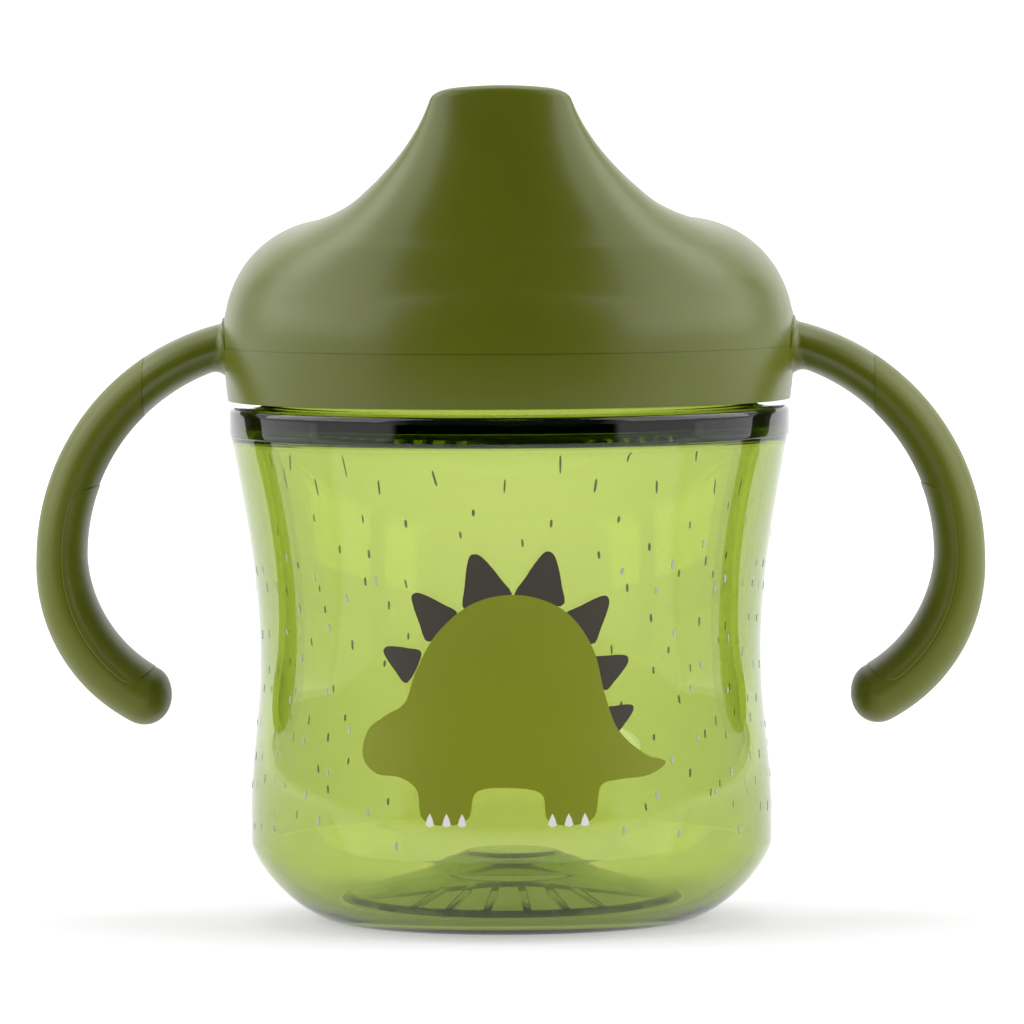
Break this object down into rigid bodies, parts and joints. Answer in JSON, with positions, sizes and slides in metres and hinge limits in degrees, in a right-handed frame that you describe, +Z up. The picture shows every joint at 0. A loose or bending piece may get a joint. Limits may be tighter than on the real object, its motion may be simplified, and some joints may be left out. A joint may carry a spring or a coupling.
{
  "type": "sippy cup",
  "caption": "Two-handled toddler sippy cup: clear waisted cup, screw-on lid with flared spout, soft grips and a no-spill valve.",
  "frame": {"origin": "centre of the ring that the cup stands on, at the table's surface", "axes": "+Z up through the lid; -Y towards the front, where the spout is; +X and -X along the two handles"},
  "size_m": [0.1278, 0.0768, 0.1122],
  "materials": {
    "clear_cup": "clear tinted copolyester, polished",
    "lid_plastic": "semi-gloss moulded polypropylene",
    "soft_grip": "soft-touch elastomer with a satin sheen",
    "soft_pad": "satin elastomer",
    "silicone": "translucent food-grade silicone",
    "valve_plastic": "natural polypropylene"
  },
  "bodies": {
    "cup": {"cup_body": "clear_cup"},
    "seal": {"seal_ring": "silicone"},
    "lid": {"lid_hood": "lid_plastic", "grip_left": "soft_grip", "grip_right": "soft_grip", "grip_pad_left": "soft_pad", "grip_pad_right": "soft_pad"},
    "valve": {"valve_holder": "valve_plastic"},
    "membrane": {"valve_membrane": "silicone"},
    "vent": {"vent_valve": "silicone"}
  },
  "joints": [
    {"name": "lid_lift", "type": "slide", "parent": "cup", "child": "seal", "axis": [0, 0, 1], "range_m": [0, 0.012]},
    {"name": "lid_turn", "type": "hinge", "parent": "seal", "child": "lid", "pos_m": [0, 0, 0.075], "axis": [0, 0, 1], "range_deg": [0, 360]},
    {"name": "valve_pull", "type": "slide", "parent": "lid", "child": "valve", "axis": [0, 0, -1], "range_m": [0, 0.022]},
    {"name": "membrane_pull", "type": "slide", "parent": "valve", "child": "membrane", "axis": [0, 0, -1], "range_m": [0, 0.008]},
    {"name": "vent_pull", "type": "slide", "parent": "lid", "child": "vent", "axis": [0, 0, -1], "range_m": [0, 0.012]}
  ],
  "couplings": [
    {"joint": "lid_lift", "follows": "lid_turn", "m_per_rad": 0.0019098}
  ]
}
